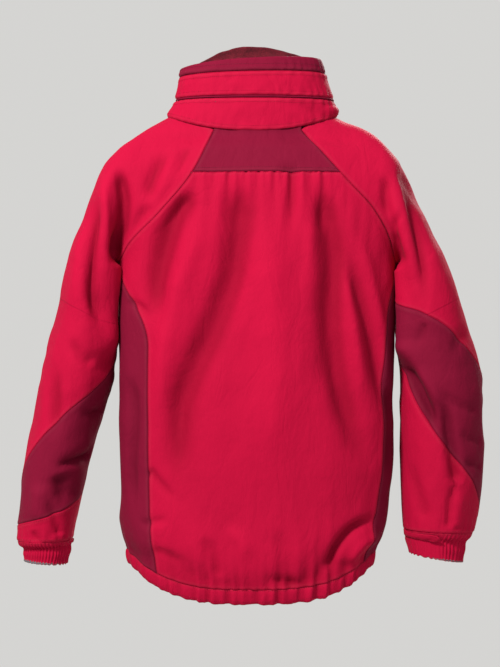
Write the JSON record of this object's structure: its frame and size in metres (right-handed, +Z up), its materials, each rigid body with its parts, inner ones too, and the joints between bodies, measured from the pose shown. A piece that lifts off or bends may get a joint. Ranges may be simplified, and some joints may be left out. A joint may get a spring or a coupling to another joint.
{
  "type": "foul weather jacket",
  "caption": "Hooded-collar foul weather jacket hanging closed, raglan sleeves, contrast yoke, side and elbow panels, storm flap over the front zip, flap pockets and drawcord hem.",
  "frame": {"origin": "point inside the base of the collar where a hanger carries the jacket", "axes": "+Z up, +Y out of the back, +X to the wearer's left; the front faces -Y"},
  "size_m": [0.7482, 0.2299, 0.8865],
  "materials": {
    "shell_nylon": "crimson woven nylon with a soft sheen",
    "contrast_nylon": "maroon woven nylon",
    "fleece": "dark red brushed fleece",
    "lining_fabric": "charcoal taffeta",
    "side_zip_tape": "maroon woven tape with moulded teeth",
    "front_zip_tape": "black woven tape with moulded teeth",
    "metal": "dull nickel",
    "toggle_plastic": "black moulded plastic",
    "cord_fabric": "black braided cord"
  },
  "bodies": {
    "shell": {"back_panel": "shell_nylon", "back_yoke": "contrast_nylon", "body_lining": "lining_fabric", "collar_lining": "fleece", "collar_lower_band": "shell_nylon", "collar_piping": "contrast_nylon", "collar_top_band": "contrast_nylon", "collar_upper_band": "shell_nylon", "front_zip_box": "front_zip_tape", "front_zip_left": "front_zip_tape", "front_zip_right": "front_zip_tape", "hem_casing": "shell_nylon", "left_front_panel": "shell_nylon", "left_hem_cord": "cord_fabric", "left_pocket": "shell_nylon", "left_pocket_flap_base": "shell_nylon", "left_shoulder": "shell_nylon", "left_side_panel": "contrast_nylon", "right_front_panel": "shell_nylon", "right_hem_cord": "cord_fabric", "right_pocket": "shell_nylon", "right_pocket_flap_base": "shell_nylon", "right_shoulder": "shell_nylon", "right_side_panel": "contrast_nylon", "side_zip_back": "side_zip_tape", "side_zip_front": "side_zip_tape", "snap_stud_1": "metal", "snap_stud_2": "metal", "storm_flap_base": "shell_nylon", "storm_flap_landing": "shell_nylon", "stowed_hood": "shell_nylon"},
    "left_upper_arm": {"left_upper_sleeve": "shell_nylon"},
    "left_forearm": {"left_forearm_front": "shell_nylon", "left_forearm_outer": "shell_nylon", "left_elbow_panel": "contrast_nylon", "left_forearm_back": "shell_nylon", "left_cuff": "shell_nylon"},
    "left_tab": {"left_cuff_tab": "shell_nylon"},
    "left_pocket_lid": {"left_pocket_flap": "shell_nylon"},
    "left_lock": {"left_cord_lock": "toggle_plastic"},
    "left_button": {"left_cord_lock_button": "toggle_plastic"},
    "right_upper_arm": {"right_upper_sleeve": "shell_nylon", "right_elbow_gusset": "contrast_nylon"},
    "right_forearm": {"right_forearm_front": "shell_nylon", "right_forearm_outer": "shell_nylon", "right_elbow_panel": "contrast_nylon", "right_forearm_back": "shell_nylon", "right_cuff": "shell_nylon"},
    "right_tab": {"right_cuff_tab": "shell_nylon"},
    "right_pocket_lid": {"right_pocket_flap": "shell_nylon"},
    "right_lock": {"right_cord_lock": "toggle_plastic"},
    "right_button": {"right_cord_lock_button": "toggle_plastic"},
    "flap": {"storm_flap": "shell_nylon", "snap_cap_1": "metal", "snap_cap_2": "metal"},
    "zip_slider": {"front_zip_slider": "metal"},
    "zip_pull": {"front_zip_pull": "metal"},
    "side_slider": {"side_zip_slider": "metal"},
    "side_ring": {"side_zip_ring": "metal"},
    "loop": {"hanger_loop": "cord_fabric"}
  },
  "joints": [
    {"name": "left_shoulder_swing", "type": "hinge", "parent": "shell", "child": "left_upper_arm", "pos_m": [0.28085, 0, -0.1588], "axis": [0, -1, 0], "range_deg": [0, 30]},
    {"name": "left_elbow_bend", "type": "hinge", "parent": "left_upper_arm", "child": "left_forearm", "pos_m": [0.28523, 0.005, -0.378], "axis": [-1, 0, 0], "range_deg": [0, 40]},
    {"name": "left_cuff_tab_peel", "type": "hinge", "parent": "left_forearm", "child": "left_tab", "pos_m": [0.29681, -0.01244, -0.6716], "axis": [0.2806, 0.1668, -0.9452], "range_deg": [0, 75]},
    {"name": "right_shoulder_swing", "type": "hinge", "parent": "shell", "child": "right_upper_arm", "pos_m": [-0.26025, 0, -0.1365], "axis": [0, 1, 0], "range_deg": [0, 30]},
    {"name": "right_elbow_bend", "type": "hinge", "parent": "right_upper_arm", "child": "right_forearm", "pos_m": [-0.28622, 0.005, -0.368], "axis": [-1, 0, 0], "range_deg": [0, 40]},
    {"name": "right_cuff_tab_peel", "type": "hinge", "parent": "right_forearm", "child": "right_tab", "pos_m": [-0.23384, 0.00404, -0.65651], "axis": [-0.1668, -0.0582, -0.9843], "range_deg": [0, 75]},
    {"name": "storm_flap_open", "type": "hinge", "parent": "shell", "child": "flap", "pos_m": [0.034, -0.12508, -0.68144], "axis": [0, 0.0449, 0.999], "range_deg": [0, 95]},
    {"name": "front_zip_slide", "type": "slide", "parent": "shell", "child": "zip_slider", "axis": [0, -0.0449, -0.999], "range_m": [0, 0.735]},
    {"name": "front_zip_pull_swing", "type": "hinge", "parent": "zip_slider", "child": "zip_pull", "pos_m": [0, -0.08531, 0.06428], "axis": [-1, 0, 0], "range_deg": [0, 165]},
    {"name": "left_pocket_flap_lift", "type": "hinge", "parent": "shell", "child": "left_pocket_lid", "pos_m": [0.11663, -0.10806, -0.4773], "axis": [-0.9768, -0.2141, 0.0023], "range_deg": [0, 90]},
    {"name": "right_pocket_flap_lift", "type": "hinge", "parent": "shell", "child": "right_pocket_lid", "pos_m": [-0.1169, -0.10696, -0.47729], "axis": [-0.974, 0.2267, -0.0023], "range_deg": [0, 90]},
    {"name": "side_zip_slide", "type": "slide", "parent": "shell", "child": "side_slider", "axis": [0.093, 0.0198, 0.9955], "range_m": [0, 0.128]},
    {"name": "side_zip_ring_swing", "type": "hinge", "parent": "side_slider", "child": "side_ring", "pos_m": [0.2037, -0.05558, -0.70429], "axis": [-0.509, -0.8583, 0.0646], "range_deg": [0, 150]},
    {"name": "left_cord_lock_slide", "type": "slide", "parent": "shell", "child": "left_lock", "axis": [0, 0, 1], "range_m": [-0.012, 0.018]},
    {"name": "left_cord_lock_press", "type": "slide", "parent": "left_lock", "child": "left_button", "axis": [-1, 0, 0], "range_m": [0, 0.0032], "stiffness_N_per_m": 400, "springref_m": -0.002},
    {"name": "right_cord_lock_slide", "type": "slide", "parent": "shell", "child": "right_lock", "axis": [0, 0, 1], "range_m": [-0.012, 0.018]},
    {"name": "right_cord_lock_press", "type": "slide", "parent": "right_lock", "child": "right_button", "axis": [1, 0, 0], "range_m": [0, 0.0032], "stiffness_N_per_m": 400, "springref_m": -0.002},
    {"name": "hanger_loop_swing", "type": "hinge", "parent": "shell", "child": "loop", "pos_m": [0.0095, 0.02, -0.006], "axis": [-1, 0, 0], "range_deg": [0, 80]}
  ]
}
